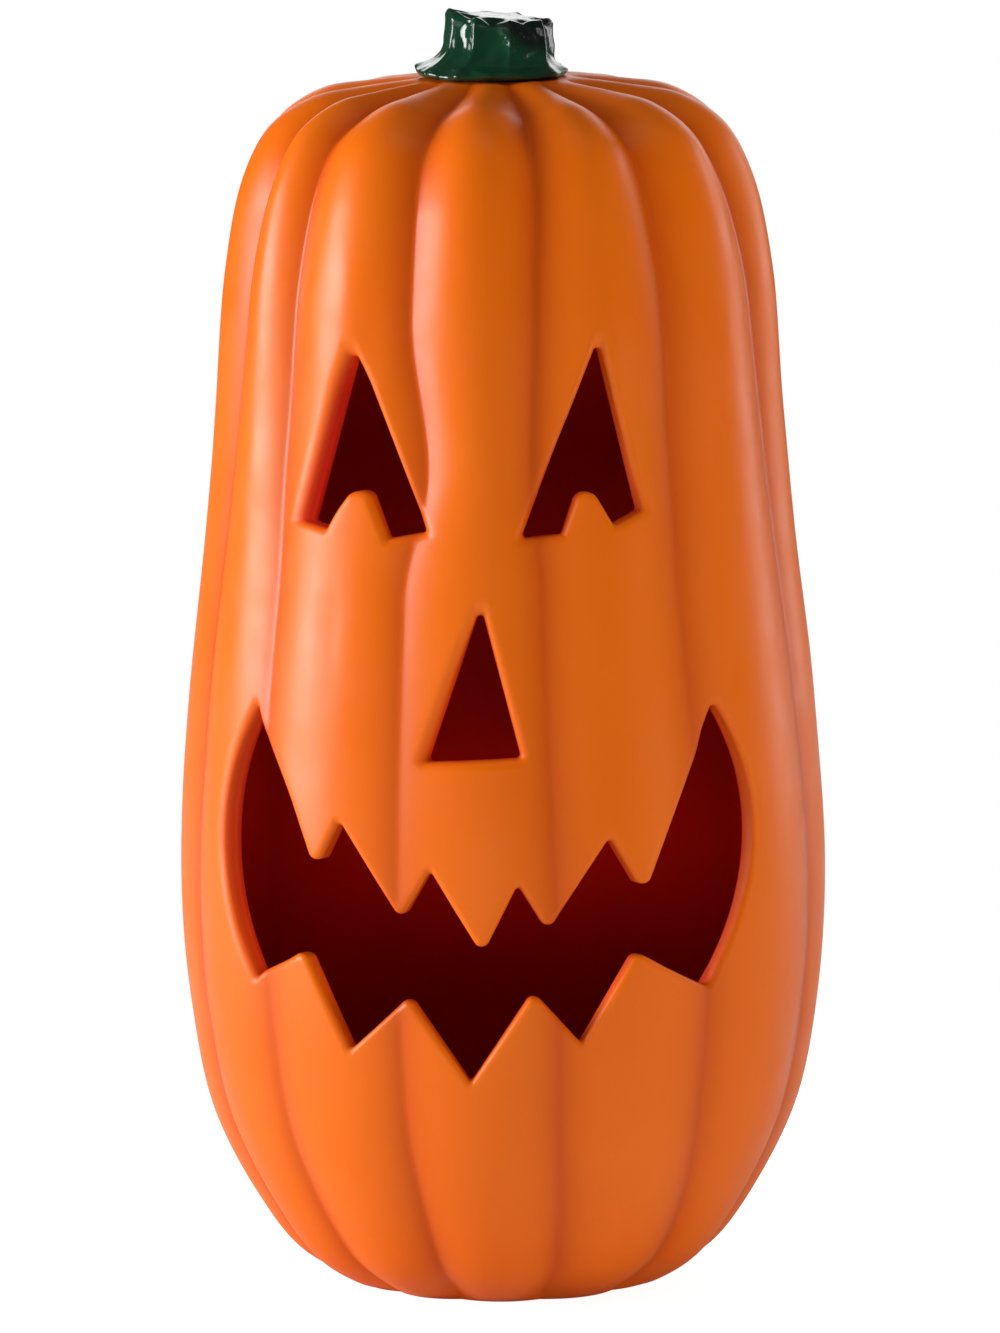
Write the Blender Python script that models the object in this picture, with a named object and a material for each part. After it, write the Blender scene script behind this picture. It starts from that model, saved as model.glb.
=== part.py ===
# Carved pumpkin lantern: a tall ribbed orange lantern, hollow, with a jagged
# jack-o'-lantern face cut through the front wall and a dark green stem on top.
# Metres, +Z up, the face looks along -Y, the flat base stands on z = 0.
import bpy
import bmesh
import math

for old in list(bpy.data.objects):
    bpy.data.objects.remove(old, do_unlink=True)

MM = 0.001

# ---- driving dimensions ----
WALL = 6.5 * MM
SEAT_HEIGHT = 417.6 * MM
STEM_GAP = 0.3 * MM
STEM_FOOT_X = -1.7 * MM
STEM_TOP_X = 0.9 * MM
CUT_FRONT = -160 * MM
CUT_BACK = -28 * MM
STEPS_PER_SPAN = 2
CHEEK_STEPS = 7

# side view of the ribbed body at the rib crests: radius, height, groove depth (mm)
BODY_PROFILE = (
    (52, 0, 2), (58, 2, 2.5), (72, 11, 3), (85, 28, 3.2),
    (101.3, 60, 3.2), (109, 98, 3), (112.1, 142, 3), (108.6, 203, 3.6),
    (102.4, 259, 4.4), (98.4, 303, 5.4), (94.7, 352, 6.4), (88, 385, 7.2),
    (78.4, 402.4, 7.2), (63.5, 412, 6.6), (47, 415, 5), (34, 416.6, 3), (24, 417.6, 0),
)
# thirteen grooves: the six in front, degrees round from the middle of the face at
# three heights (mm); the other seven share out the back evenly
GROOVE_COUNT = 13
GROOVE_HEIGHTS = (0, 80, 345)
FRONT_GROOVES = (
    (-68, -69, -66), (-43, -43.4, -45.4), (-13.5, -14.8, -14.8),
    (18, 14.8, 12.2), (52, 45.2, 43), (82, 80, 76.5),
)
RIB_ROUNDNESS = 0.95
OUTER_COLUMNS = (0.0, 0.12, 0.31, 0.5, 0.69, 0.88)
INNER_COLUMNS = (0.0, 0.25, 0.5, 0.75)
INNER_GROOVE_SHARE = 0.6

# openings seen from the front: x, z (mm)
LEFT_EYE = (
    (-40.1, 332.7), (-58.0, 274.2), (-46.8, 273.5),
    (-37.7, 286.4), (-29.3, 270.8), (-17.3, 273.0),
)
RIGHT_EYE = (
    (39.7, 333.4), (15.1, 270.6), (28.1, 272.1),
    (35.4, 287.3), (44.4, 274.4), (52.7, 278.3),
)
NOSE = ((1.3, 246.4), (-16.1, 195.9), (14.0, 197.3))
MOUTH_UPPER = (
    (-72.3, 208.7), (-53.9, 159.6), (-45.3, 173.2), (-25.5, 144.5),
    (-15.2, 157.8), (1.4, 134.1), (13.0, 153.2), (22.6, 141.0),
    (42.2, 167.9), (52.8, 152.9), (74.3, 209.8),
)
MOUTH_LOWER = (
    (71.5, 115.1), (50.8, 128.3), (32.9, 100.3), (17.8, 115.8),
    (-3.0, 87.7), (-23.0, 113.8), (-42.5, 97.1), (-57.8, 127.4), (-73.0, 117.5),
)
RIGHT_CHEEK = (86.2, 160.0)
LEFT_CHEEK = (-84.4, 160.0)

# stem: radius, height above its underside, flute depth (mm)
STEM_PROFILE = (
    (26.2, 0, 0.6), (27.8, 1.0, 1.2), (26.9, 2.6, 1.4), (22.9, 4.6, 1.6),
    (20.5, 8, 1.9), (19.5, 13, 1.9), (19.1, 18, 1.8), (18.9, 21.4, 1.8),
    (17.8, 23.3, 1.5), (13.5, 22.7, 0.9), (7, 21.8, 0.3),
)
STEM_RIDGES = (-58, -23, 17, 62, 112, 162, 212, 258)
STEM_COLUMNS = (0.0, 0.25, 0.5, 0.75)
STEM_SHEAR = 0.06


def material(name, colour, roughness):
    mat = bpy.data.materials.new(name)
    mat.use_nodes = True
    shader = mat.node_tree.nodes["Principled BSDF"]
    shader.inputs["Base Color"].default_value = (*colour, 1.0)
    shader.inputs["Roughness"].default_value = roughness
    shader.inputs["Metallic"].default_value = 0.0
    mat.diffuse_color = (*colour, 1.0)
    return mat


def spline_point(before, start, end, after, t):
    # centripetal Catmull-Rom: an even, smooth curve through every profile point
    knots = [0.0]
    chain = (before, start, end, after)
    for a, b in zip(chain, chain[1:]):
        knots.append(knots[-1] + max(math.dist(a[:2], b[:2]), 1e-9) ** 0.5)
    s = knots[1] + (knots[2] - knots[1]) * t

    def mix(a, b, lo, hi):
        w = (s - lo) / (hi - lo)
        return tuple(p + (q - p) * w for p, q in zip(a, b))

    first = mix(before, start, knots[0], knots[1])
    middle = mix(start, end, knots[1], knots[2])
    last = mix(end, after, knots[2], knots[3])
    left = mix(first, middle, knots[0], knots[2])
    right = mix(middle, last, knots[1], knots[3])
    return mix(left, right, knots[1], knots[2])


def smooth_profile(points, steps):
    # radius, height and depth along the smoothed profile, with the outward direction
    pts = [tuple(v * MM for v in p) for p in points]
    head = tuple(2 * a - b for a, b in zip(pts[0], pts[1]))
    tail = tuple(2 * a - b for a, b in zip(pts[-1], pts[-2]))
    pts = [head, *pts, tail]
    curve = []
    for i in range(1, len(pts) - 2):
        for k in range(steps):
            curve.append(spline_point(*pts[i - 1:i + 3], k / steps))
    curve.append(pts[-2])
    stations = []
    for i, here in enumerate(curve):
        ahead = curve[min(i + 1, len(curve) - 1)]
        behind = curve[max(i - 1, 0)]
        dr = ahead[0] - behind[0]
        dz = ahead[1] - behind[1]
        size = math.hypot(dr, dz)
        stations.append((*here, dz / size, -dr / size))
    return stations


def ease(share):
    share = min(max(share, 0.0), 1.0)
    return share * share * (3 - 2 * share)


def front_groove(index, height):
    # a front groove wanders a little between foot and crown
    low, middle, high = (h * MM for h in GROOVE_HEIGHTS)
    foot, belly, crown = FRONT_GROOVES[index]
    if height < middle:
        return foot + (belly - foot) * ease((height - low) / (middle - low))
    return belly + (crown - belly) * ease((height - middle) / (high - middle))


def groove_angle(index, height):
    # the back grooves lie evenly between the last front groove and the first, a turn on
    front = len(FRONT_GROOVES)
    if index < front:
        return math.radians(front_groove(index, height))
    last = front_groove(front - 1, height)
    first = front_groove(0, height) + 360
    share = (index - front + 1) / (GROOVE_COUNT - front + 1)
    return math.radians(last + (first - last) * share)


def ribbed_rings(stations, columns, inset, depth_share):
    # one ring of points per station; ribs bulge between the grooves
    rings = []
    for i, (radius, height, depth, out_r, out_z) in enumerate(stations):
        if i == 0 and inset == 0:
            groove_r, groove_z = 1.0, 0.0
        else:
            groove_r, groove_z = out_r, out_z
        ring = []
        for rib in range(GROOVE_COUNT):
            start = groove_angle(rib, height)
            end = groove_angle(rib + 1, height)
            for u in columns:
                sink = depth * depth_share * (1 - abs(math.sin(math.pi * u)) ** RIB_ROUNDNESS)
                r = radius - inset * out_r - sink * groove_r
                z = height - inset * out_z - sink * groove_z
                angle = start + (end - start) * u
                ring.append((r * math.sin(angle), -r * math.cos(angle), z))
        rings.append(ring)
    return rings


def solid_from_rings(name, rings, low_cap, high_cap, mat):
    # skin the rings and close both ends, on a centre point where one is given
    bm = bmesh.new()
    rows = [[bm.verts.new(p) for p in ring] for ring in rings]
    count = len(rings[0])
    for lower, upper in zip(rows, rows[1:]):
        for j in range(count):
            k = (j + 1) % count
            bm.faces.new((lower[j], lower[k], upper[k], upper[j]))
    for row, centre in ((rows[0], low_cap), (rows[-1], high_cap)):
        hub = bm.verts.new(centre)
        for j in range(count):
            bm.faces.new((row[j], row[(j + 1) % count], hub))
    bmesh.ops.triangulate(bm, faces=bm.faces[:])
    bmesh.ops.recalc_face_normals(bm, faces=bm.faces[:])
    return finish_mesh(name, bm, mat)


def finish_mesh(name, bm, mat):
    mesh = bpy.data.meshes.new(name)
    bm.to_mesh(mesh)
    bm.free()
    obj = bpy.data.objects.new(name, mesh)
    bpy.context.scene.collection.objects.link(obj)
    if mat is not None:
        mesh.materials.append(mat)
    return obj


def cutter_from_outline(name, outline):
    # an opening: its outline carried straight through the front wall
    bm = bmesh.new()
    front = [bm.verts.new((x * MM, CUT_FRONT, z * MM)) for x, z in outline]
    face = bm.faces.new(front)
    grown = bmesh.ops.extrude_face_region(bm, geom=[face])
    moved = [v for v in grown["geom"] if isinstance(v, bmesh.types.BMVert)]
    bmesh.ops.translate(bm, verts=moved, vec=(0, CUT_BACK - CUT_FRONT, 0))
    bmesh.ops.triangulate(bm, faces=bm.faces[:])
    bmesh.ops.recalc_face_normals(bm, faces=bm.faces[:])
    obj = finish_mesh(name, bm, None)
    obj.hide_render = True
    obj.display_type = "WIRE"
    return obj


def arc_through(start, middle, end, steps):
    # points of the circle through three points, without its two ends
    ax, az = start
    bx, bz = middle
    cx, cz = end
    d = 2 * (ax * (bz - cz) + bx * (cz - az) + cx * (az - bz))
    a2 = ax * ax + az * az
    b2 = bx * bx + bz * bz
    c2 = cx * cx + cz * cz
    ox = (a2 * (bz - cz) + b2 * (cz - az) + c2 * (az - bz)) / d
    oz = (a2 * (cx - bx) + b2 * (ax - cx) + c2 * (bx - ax)) / d
    radius = math.dist((ox, oz), start)
    first = math.atan2(az - oz, ax - ox)
    sweep = math.remainder(math.atan2(cz - oz, cx - ox) - first, 2 * math.pi)
    angles = [first + sweep * k / steps for k in range(1, steps)]
    return [(ox + radius * math.cos(a), oz + radius * math.sin(a)) for a in angles]


def subtract(target, tool):
    mod = target.modifiers.new("cut_" + tool.name, "BOOLEAN")
    mod.operation = "DIFFERENCE"
    mod.solver = "EXACT"
    mod.object = tool


orange = material("shell_orange", (0.72, 0.14, 0.012), 0.42)
green = material("stem_green", (0.010, 0.045, 0.018), 0.22)

# shell: ribbed body, hollowed, then the face cut through
profile = smooth_profile(BODY_PROFILE, STEPS_PER_SPAN)
outer_rings = ribbed_rings(profile, OUTER_COLUMNS, 0.0, 1.0)
shell = solid_from_rings("shell", outer_rings, (0, 0, 0), (0, 0, SEAT_HEIGHT), orange)

inner_profile = profile[::2]
inner_rings = ribbed_rings(inner_profile, INNER_COLUMNS, WALL, INNER_GROOVE_SHARE)
floor_height = inner_rings[0][0][2]
roof_height = inner_rings[-1][0][2]
hollow = solid_from_rings(
    "hollow", inner_rings, (0, 0, floor_height), (0, 0, roof_height), None)
hollow.hide_render = True
hollow.display_type = "WIRE"
subtract(shell, hollow)

right_cheek = arc_through(MOUTH_UPPER[-1], RIGHT_CHEEK, MOUTH_LOWER[0], CHEEK_STEPS)
left_cheek = arc_through(MOUTH_LOWER[-1], LEFT_CHEEK, MOUTH_UPPER[0], CHEEK_STEPS)
MOUTH = (*MOUTH_UPPER, *right_cheek, *MOUTH_LOWER, *left_cheek)
for opening, outline in (
    ("left_eye_cut", LEFT_EYE),
    ("right_eye_cut", RIGHT_EYE),
    ("nose_cut", NOSE),
    ("mouth_cut", MOUTH),
):
    subtract(shell, cutter_from_outline(opening, outline))

# stem: flared foot, fluted neck, sheared top, standing on the crown
stem_base = SEAT_HEIGHT + STEM_GAP
stem_rings = []
for radius, rise, flute in STEM_PROFILE:
    ring = []
    shift = STEM_FOOT_X + (STEM_TOP_X - STEM_FOOT_X) * ease(rise / 12)
    for i, ridge in enumerate(STEM_RIDGES):
        nxt = STEM_RIDGES[(i + 1) % len(STEM_RIDGES)] + 360 * ((i + 1) // len(STEM_RIDGES))
        for u in STEM_COLUMNS:
            angle = math.radians(ridge + (nxt - ridge) * u)
            r = (radius - flute * math.sin(math.pi * u)) * MM
            x = r * math.sin(angle)
            # the cut top leans; the lean grows from nothing at the foot
            lean = -STEM_SHEAR * (x + 0.0185) * (rise / 22.0)
            ring.append((x + shift, -r * math.cos(angle), stem_base + rise * MM + lean))
    stem_rings.append(ring)
low_centre = (STEM_FOOT_X, 0, stem_base)
top_centre = (STEM_TOP_X, 0, stem_base + 20.4 * MM)
stem = solid_from_rings("stem", stem_rings, low_centre, top_centre, green)

for piece in (shell, stem):
    for polygon in piece.data.polygons:
        polygon.use_smooth = True
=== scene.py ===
import math

import bmesh
import bpy
import numpy as np
from mathutils import Matrix, Vector
from mathutils.geometry import delaunay_2d_cdt


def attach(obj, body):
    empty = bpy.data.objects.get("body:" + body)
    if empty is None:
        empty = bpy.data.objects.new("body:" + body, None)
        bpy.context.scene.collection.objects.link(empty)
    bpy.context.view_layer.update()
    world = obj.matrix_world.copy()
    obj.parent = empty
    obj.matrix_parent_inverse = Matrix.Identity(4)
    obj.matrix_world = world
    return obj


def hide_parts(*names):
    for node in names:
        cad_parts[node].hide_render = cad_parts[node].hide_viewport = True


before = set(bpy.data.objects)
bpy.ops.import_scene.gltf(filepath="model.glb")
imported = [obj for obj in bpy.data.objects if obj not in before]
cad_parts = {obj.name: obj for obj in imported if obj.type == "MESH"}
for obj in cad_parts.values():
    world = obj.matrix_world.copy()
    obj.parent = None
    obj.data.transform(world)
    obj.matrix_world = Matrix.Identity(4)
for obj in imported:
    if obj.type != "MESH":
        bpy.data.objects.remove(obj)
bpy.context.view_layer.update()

mm = 0.001
scene = bpy.context.scene
scene.view_settings.view_transform = "Standard"

# camera: standing a little to the lantern's left-hand side, looking slightly down
cameraSet = {
    "azimuth": 4.6,      # degrees round from straight ahead, towards +X
    "elevation": 8.5,
    "distance": 4.0,
    "aim": (-0.0005, 0.0, 0.2128),
    "lens": 313.0,
    "roll": 0.45,        # degrees, the lantern leans to the left in the view
}


def placeCamera(p):
    # back is the unit vector from the aim to the camera: (sin a cos e, -cos a cos e, sin e);
    # the camera stands at aim + distance * back and is rolled about it
    a, e = math.radians(p["azimuth"]), math.radians(p["elevation"])
    back = Vector((math.sin(a) * math.cos(e), -math.cos(a) * math.cos(e), math.sin(e)))
    data = bpy.data.cameras.new("lanternCamera")
    data.sensor_fit = "VERTICAL"
    data.sensor_height = 36.0
    data.lens = p["lens"]
    data.clip_end = 60.0
    cam = bpy.data.objects.new("lanternCamera", data)
    turn = back.to_track_quat("Z", "Y") @ Matrix.Rotation(math.radians(-p["roll"]), 3, "Z").to_quaternion()
    place = Vector(p["aim"]) + back * p["distance"]
    cam.matrix_world = Matrix.Translation(place) @ turn.to_matrix().to_4x4()
    scene.collection.objects.link(cam)
    scene.camera = cam


placeCamera(cameraSet)
print("camera placed")

# ribbed shell: a side view carried round, thirteen ribs between creased grooves
shellShape = {
    # radius, height, groove depth at the rib crests, mm, from the foot to under the stem
    "profile": [
        (52, 0, 2.8), (58, 2, 3.8), (72, 11, 4.4), (85, 28, 4.2),
        (101, 60, 3.7), (108.6, 98, 3.2), (111.6, 142, 3.0), (108.2, 203, 3.6),
        (102.0, 259, 4.4), (98.0, 303, 5.4), (94.4, 352, 6.4), (87.8, 385, 7.2),
        (78.4, 402.4, 7.2), (63.5, 412, 6.6), (47, 415.0, 5), (34, 416.6, 3), (24, 417.6, 0),
    ],
    # the six front grooves, degrees round from the face's middle at each height in mm;
    # the other seven share out the back evenly
    "grooveHeights": [0, 80, 250, 292, 345, 400],
    "frontGrooves": [
        [-68, -69, -69, -68, -66, -63], [-43, -43.4, -45, -45.8, -45.4, -45],
        [-13.5, -14.8, -14.8, -10.5, -14.8, -15], [18, 14.8, 12.6, 11, 12.2, 13.5],
        [52, 45.2, 42.2, 42.6, 43, 42], [82, 80, 78, 77.5, 76.5, 73],
    ],
    # soft dents: degrees round, height, half width, half height, depth, mm
    "dents": [
        (-29, 238, 3, 22, 0.7), (-34, 352, 7, 9, 0.5),
        (-23, 338, 5, 16, 0.6), (-48, 150, 6, 20, 0.4),
    ],
    "ribCount": 13,
    "backGrooves": 7,
    "crownFrom": (210, 380),     # mm, heights between which the ribs change to the crown's
    "ribPower": (0.85, 1.1),     # low down and at the crown; lower is a flatter rib, a narrower groove
    "creaseSoft": (0.05, 0.03),  # how blunt the groove's bottom is, low down and at the crown
    "ripple": 0.35,              # mm, slow unevenness of the moulding
    "wall": 6.5,                 # mm
    "innerShare": 0.6,           # how much of the ribs the inside shows
    "ribFlat": 46,               # mm, a rib's width in the flat plan of the face patch
    "gather": 0.55,              # how much the columns crowd towards the grooves
    "columnsPerRib": 20,
    "rowStep": 2.2,              # mm
    "innerColumnsPerRib": 10,
    "innerRowStep": 4.5,
    "clear": 0.8,                # mm kept free of grid points round an opening
    "innerClear": 1.6,
    "faceBand": (76, 350),       # mm, the height that all openings lie within
    "faceRibs": (0, 5),          # the patch spans these ribs
}

# openings, seen from the front at their innermost edge: x, z, corner radius, mm
faceShape = {
    "leftEye": {
        "rim": 2.9, "mitre": 0.75, "slope": (-35.2, 3.9),   # left of here the wall slopes out by this much
        "points": [(-39.4, 333.6, 1.2), (-55.8, 273.8, 1.2), (-46.6, 272.2, 1.2),
                   (-37.2, 290.6, 3.4), (-29.3, 270.0, 1.2), (-16.6, 272.4, 1.2)],
    },
    "rightEye": {
        "rim": 2.6, "mitre": 0.75, "slope": (32.0, 0.8),
        "points": [(38.4, 337.0, 1.2), (14.4, 270.4, 1.2), (27.5, 271.6, 1.2),
                   (34.2, 291.4, 3.8), (43.4, 274.0, 1.2), (51.9, 278.2, 1.2)],
    },
    "nose": {
        "rim": 3.2, "mitre": 0.4, "slope": (2.0, 1.6),
        "points": [(1.3, 248.2, 1.2), (-16.6, 195.7, 1.4), (14.5, 197.1, 1.4)],
    },
    "mouth": {
        "rim": 2.4, "mitre": 0.6, "slope": (-62.0, 2.4),
        "points": [(-72.3, 210.5, 1.0), (-53.7, 156.4, 2.6), (-45.3, 174.3, 1.0), (-25.5, 141.3, 2.6),
                   (-15.2, 159.0, 1.0), (1.5, 130.8, 2.6), (13.0, 154.5, 1.0), (22.6, 138.1, 2.6),
                   (42.2, 169.4, 1.0), (53.2, 149.3, 2.6), (74.3, 211.8, 1.0),
                   ("arc", 86.2, 160.0),
                   (71.5, 114.8, 1.2), (50.8, 130.0, 2.6), (32.9, 99.2, 1.0), (17.8, 117.6, 2.6),
                   (-3.0, 86.4, 1.0), (-23.0, 115.6, 2.6), (-42.5, 96.0, 1.0), (-57.8, 129.4, 2.6),
                   (-73.4, 116.4, 1.2),
                   ("arc", -84.4, 160.0)],
    },
    "innerRim": 1.0,     # mm, rounding at the back of each cut
    "lean": 1.0,         # 0 cuts straight back, 1 cuts square to the curved wall
    "cornerStep": 14,    # degrees between points on a rounded corner
    "edgeStep": 1.5,     # mm between points on a straight edge
}


def splineTable(points, perSpan):
    # centripetal Catmull-Rom through the points (knots a root of the chord apart), as a table:
    # length s, radius r, height z, third column depth, outward direction (nr, nz)
    p = np.array(points, float)
    p[:, :] *= mm
    p = np.vstack([2 * p[0] - p[1], p, 2 * p[-1] - p[-2]])
    rows = []
    for i in range(1, len(p) - 2):
        p0, p1, p2, p3 = p[i - 1:i + 3]
        chords = [np.linalg.norm((b - a)[:2]) for a, b in ((p0, p1), (p1, p2), (p2, p3))]
        k = np.cumsum([0] + [max(chord, 1e-9) ** 0.5 for chord in chords])
        t = np.linspace(k[1], k[2], perSpan, endpoint=False)[:, None]
        a1 = (k[1] - t) / (k[1] - k[0]) * p0 + (t - k[0]) / (k[1] - k[0]) * p1
        a2 = (k[2] - t) / (k[2] - k[1]) * p1 + (t - k[1]) / (k[2] - k[1]) * p2
        a3 = (k[3] - t) / (k[3] - k[2]) * p2 + (t - k[2]) / (k[3] - k[2]) * p3
        b1 = (k[2] - t) / (k[2] - k[0]) * a1 + (t - k[0]) / (k[2] - k[0]) * a2
        b2 = (k[3] - t) / (k[3] - k[1]) * a2 + (t - k[1]) / (k[3] - k[1]) * a3
        rows.append((k[2] - t) / (k[2] - k[1]) * b1 + (t - k[1]) / (k[2] - k[1]) * b2)
    c = np.vstack(rows + [p[-2:-1]])
    step = np.gradient(c[:, :2], axis=0)
    step /= np.linalg.norm(step, axis=1)[:, None]
    length = np.concatenate([[0], np.cumsum(np.linalg.norm(np.diff(c[:, :2], axis=0), axis=1))])
    return {"s": length, "r": c[:, 0], "z": c[:, 1], "depth": c[:, 2], "nr": step[:, 1], "nz": -step[:, 0]}


def smoothStep(x, low, high):
    # 0 below low, 1 above high, 3t^2 - 2t^3 between
    t = np.clip((x - low) / (high - low), 0, 1)
    return t * t * (3 - 2 * t)


def makeSkin(shape, inset, share):
    # the profile moved inset inwards; grooves sink level over the face band, square to the wall beyond it
    t = splineTable(shape["profile"], 24)
    low, high = shape["faceBand"][0] * mm, shape["faceBand"][1] * mm
    above = smoothStep(t["z"], low - 30 * mm, low - 2 * mm)
    below = 1 - smoothStep(t["z"], high + 2 * mm, high + 25 * mm)
    tilt = t["nz"] * (1 - above * below)
    tilt = tilt * smoothStep(t["s"], 0, 4 * mm)
    return {
        "s": t["s"],
        "r": t["r"] - inset * t["nr"],
        "z": t["z"] - inset * t["nz"],
        "depth": t["depth"] * share,
        "tilt": tilt,
        "shape": shape,
    }


def grooveAngles(shape, z):
    # every groove's angle at each height: eased between the heights by 3t^2 - 2t^3,
    # the last one meeting the first a turn on
    h = np.array(shape["grooveHeights"]) * mm
    front = np.radians(np.array(shape["frontGrooves"], float)).T
    close = front[:, :1] + 2 * np.pi
    count = shape["backGrooves"]
    back = front[:, -1:] + (close - front[:, -1:]) * np.arange(1, count + 1) / (count + 1)
    table = np.hstack([front, back, close])
    k = np.clip(np.searchsorted(h, z) - 1, 0, len(h) - 2)
    t = np.clip((z - h[k]) / (h[k + 1] - h[k]), 0, 1)[..., None]
    return table[k] + (table[k + 1] - table[k]) * t * t * (3 - 2 * t)


def ribAt(g, angle):
    # which rib each angle falls on among its row of groove angles, and how far across it, 0 to 1
    rib = np.clip((angle[:, None] >= g).sum(1) - 1, 0, g.shape[1] - 2)
    start = np.take_along_axis(g, rib[:, None], 1)[:, 0]
    end = np.take_along_axis(g, rib[:, None] + 1, 1)[:, 0]
    return rib, (angle - start) / (end - start)


def ribSink(shape, u, z):
    # 1 in a groove, 0 on the crest: 1 - |sin(pi u)|^power, with the groove's bottom blunted
    rise = smoothStep(z, shape["crownFrom"][0] * mm, shape["crownFrom"][1] * mm)
    soft = shape["creaseSoft"][0] + (shape["creaseSoft"][1] - shape["creaseSoft"][0]) * rise
    power = shape["ribPower"][0] + (shape["ribPower"][1] - shape["ribPower"][0]) * rise
    wave = np.sqrt(np.sin(np.pi * u) ** 2 + soft ** 2) / np.sqrt(1 + soft ** 2)
    return 1 - wave ** power


def ripple(shape, angle, z):
    # slow crossing waves round and up the wall, always inwards, and the soft dents (bell curves)
    a = np.sin(5 * angle + 34 * z) * np.sin(2.3 + 61 * z) + 0.6 * np.sin(9 * angle - 47 * z + 1.0)
    sink = shape["ripple"] * (0.5 + 0.31 * a)
    for at, height, halfWide, halfHigh, depth in shape["dents"]:
        across = (angle - math.radians(at)) * 100 / halfWide
        sink = sink + depth * np.exp(-across ** 2 - ((z / mm - height) / halfHigh) ** 2)
    return sink * mm * smoothStep(z, 0.01, 0.05)


def skinPoint(skin, col, s):
    # col counts ribs round the body, s is the length up the profile; the point lies at the rib's angle,
    # at radius r0 - sink * cos(tilt) and height z0 - sink * sin(tilt)
    z0 = np.interp(s, skin["s"], skin["z"])
    r0 = np.interp(s, skin["s"], skin["r"])
    tilt = np.interp(s, skin["s"], skin["tilt"])
    count = skin["shape"]["ribCount"]
    rib = np.floor(col).astype(int) % count
    turn = np.floor(col / count) * 2 * np.pi
    u = col - np.floor(col)
    g = grooveAngles(skin["shape"], z0)
    start = np.take_along_axis(g, rib[..., None], -1)[..., 0]
    end = np.take_along_axis(g, rib[..., None] + 1, -1)[..., 0]
    angle = start + (end - start) * u + turn
    sink = np.interp(s, skin["s"], skin["depth"]) * ribSink(skin["shape"], u, z0)
    sink = sink + ripple(skin["shape"], angle, z0)
    r = r0 - sink * np.sqrt(1 - tilt ** 2)
    return np.stack([r * np.sin(angle), -r * np.cos(angle), z0 - sink * tilt], -1)


def skinFromFront(skin, x, z):
    # where a line straight back at x, z meets the skin: solves x = r sin(angle) by repeating
    # angle = asin(x / r); gives the rib count, the profile length, y and the angle
    s = np.interp(z, skin["z"], skin["s"])
    r0 = np.interp(s, skin["s"], skin["r"])
    depth = np.interp(s, skin["s"], skin["depth"])
    g = grooveAngles(skin["shape"], z)
    r = r0
    for _ in range(24):
        angle = np.arcsin(np.clip(x / r, -0.999, 0.999))
        rib, u = ribAt(g, angle)
        r = r0 - depth * ribSink(skin["shape"], u, z) - ripple(skin["shape"], angle, z)
    return rib + u, s, -np.sqrt(np.maximum(r * r - x * x, 0)), angle


def arcThrough(a, b, c, steps):
    # points of the circle through a, b and c, ends left out
    (ax, az), (bx, bz), (cx, cz) = a, b, c
    d = 2 * (ax * (bz - cz) + bx * (cz - az) + cx * (az - bz))
    a2, b2, c2 = ax * ax + az * az, bx * bx + bz * bz, cx * cx + cz * cz
    ox = (a2 * (bz - cz) + b2 * (cz - az) + c2 * (az - bz)) / d
    oz = (a2 * (cx - bx) + b2 * (ax - cx) + c2 * (bx - ax)) / d
    rad = math.dist((ox, oz), a)
    first = math.atan2(az - oz, ax - ox)
    sweep = math.remainder(math.atan2(cz - oz, cx - ox) - first, 2 * math.pi)
    t = first + sweep * np.arange(1, steps) / steps
    return list(zip(ox + rad * np.cos(t), oz + rad * np.sin(t)))


def outlineCorners(points):
    # the opening's corners as x, z, radius, anticlockwise, with any arc filled in (radius 0)
    corners = []
    for i, c in enumerate(points):
        if c[0] == "arc":
            before, after = points[i - 1][:2], points[(i + 1) % len(points)][:2]
            corners += [(x, z, 0.0) for x, z in arcThrough(before, c[1:], after, 36)]
        else:
            corners.append(c)
    c = np.array(corners, float)
    area = np.sum(c[:, 0] * np.roll(c[:, 1], -1) - np.roll(c[:, 0], -1) * c[:, 1])
    return c if area > 0 else c[::-1]


def outlineAt(c, grow, mitre, step):
    # the outline grown outwards by grow mm: corners move along their bisectors by
    # grow (n1 + n2) / (1 + n1.n2) and are turned on their radius, which shrinks with growth on a tooth
    # and swells by the share that mitre leaves in a notch
    here, prev, nxt = c[:, :2], np.roll(c[:, :2], 1, 0), np.roll(c[:, :2], -1, 0)
    d1 = (here - prev) / np.linalg.norm(here - prev, axis=1)[:, None]
    d2 = (nxt - here) / np.linalg.norm(nxt - here, axis=1)[:, None]
    n1, n2 = np.stack([d1[:, 1], -d1[:, 0]], 1), np.stack([d2[:, 1], -d2[:, 0]], 1)
    moved = here + (n1 + n2) / (1 + (n1 * n2).sum(1))[:, None] * grow
    turn = np.arctan2(d1[:, 0] * d2[:, 1] - d1[:, 1] * d2[:, 0], (d1 * d2).sum(1))
    pts = []
    for i in range(len(c)):
        if c[i, 2] <= 0:
            pts.append(moved[i][None])
            continue
        side = 1.0 if turn[i] > 0 else -1.0
        rad = c[i, 2] + grow * (1 - mitre) if turn[i] > 0 else max(c[i, 2] - grow, 0.12)
        centre = moved[i] - d1[i] * rad * math.tan(abs(turn[i]) / 2) - n1[i] * rad * side
        steps = max(3, int(math.ceil(abs(math.degrees(turn[i])) / step)))
        ang = math.atan2(n1[i][1] * side, n1[i][0] * side) + turn[i] * np.arange(steps + 1) / steps
        pts.append(centre + np.stack([np.cos(ang), np.sin(ang)], 1) * rad)
    return np.vstack(pts)


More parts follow.
